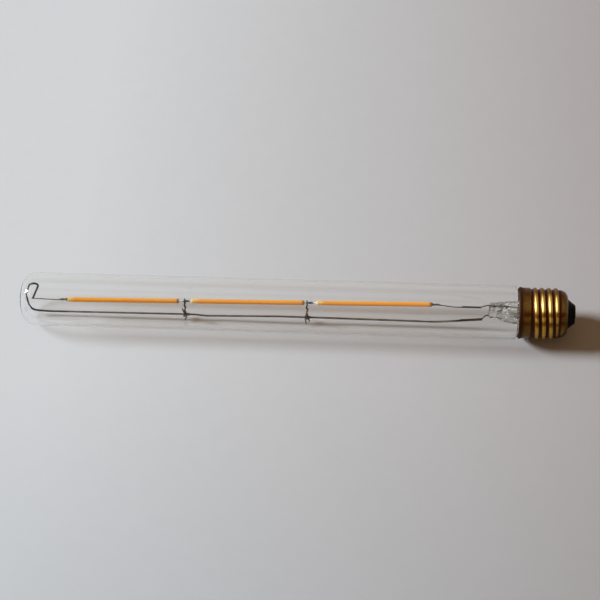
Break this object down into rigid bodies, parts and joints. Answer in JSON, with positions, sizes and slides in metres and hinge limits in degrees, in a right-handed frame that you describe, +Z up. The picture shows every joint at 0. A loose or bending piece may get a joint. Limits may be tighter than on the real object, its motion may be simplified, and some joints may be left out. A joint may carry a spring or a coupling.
{
  "type": "tubular light bulb",
  "caption": "Clear glass tubular lamp with orange filaments in line inside, a wire frame along the tube and a brass screw cap at one end.",
  "frame": {"origin": "on the surface the lamp lies on, under the middle of its length", "axes": "+X along the lamp towards the screw cap, +Z up, +Y away from the camera"},
  "size_m": [0.296, 0.0285, 0.0285],
  "materials": {
    "clear_glass": "clear drawn glass",
    "stem_glass": "clear pressed glass",
    "lead_wire": "drawn nickel wire, dulled",
    "frame_wire": "drawn nickel wire, dulled",
    "sleeve": "matt insulating bead",
    "filament_strip": "thin bare strip",
    "filament_coat": "soft orange silicone coating",
    "cap_brass": "drawn and rolled brass sheet, aged",
    "cement": "baked cement",
    "cap_black": "black cast glass",
    "contact": "tinned contact plate",
    "board": "lacquered board",
    "component": "moulded component"
  },
  "bodies": {
    "root": {"glass_envelope": "clear_glass", "glass_stem": "stem_glass", "exhaust_tube": "stem_glass", "upper_lead_wire": "lead_wire", "lower_lead_wire": "lead_wire", "link_wire": "lead_wire", "return_wire": "frame_wire", "tail_wire": "lead_wire", "tie_wire_1": "frame_wire", "tie_wire_2": "frame_wire", "insulating_sleeve_1": "sleeve", "insulating_sleeve_2": "sleeve", "filament_strip_1": "filament_strip", "filament_strip_2": "filament_strip", "filament_strip_3": "filament_strip", "filament_coat_1": "filament_coat", "filament_coat_2": "filament_coat", "filament_coat_3": "filament_coat", "cap_shell": "cap_brass", "cap_cement": "cement", "cap_insulator": "cap_black", "contact_pin": "contact", "driver_board": "board", "bridge_rectifier": "component", "driver_chip": "component", "capacitor": "component", "fuse_resistor": "component", "shell_wire": "lead_wire"}
  },
  "joints": []
}
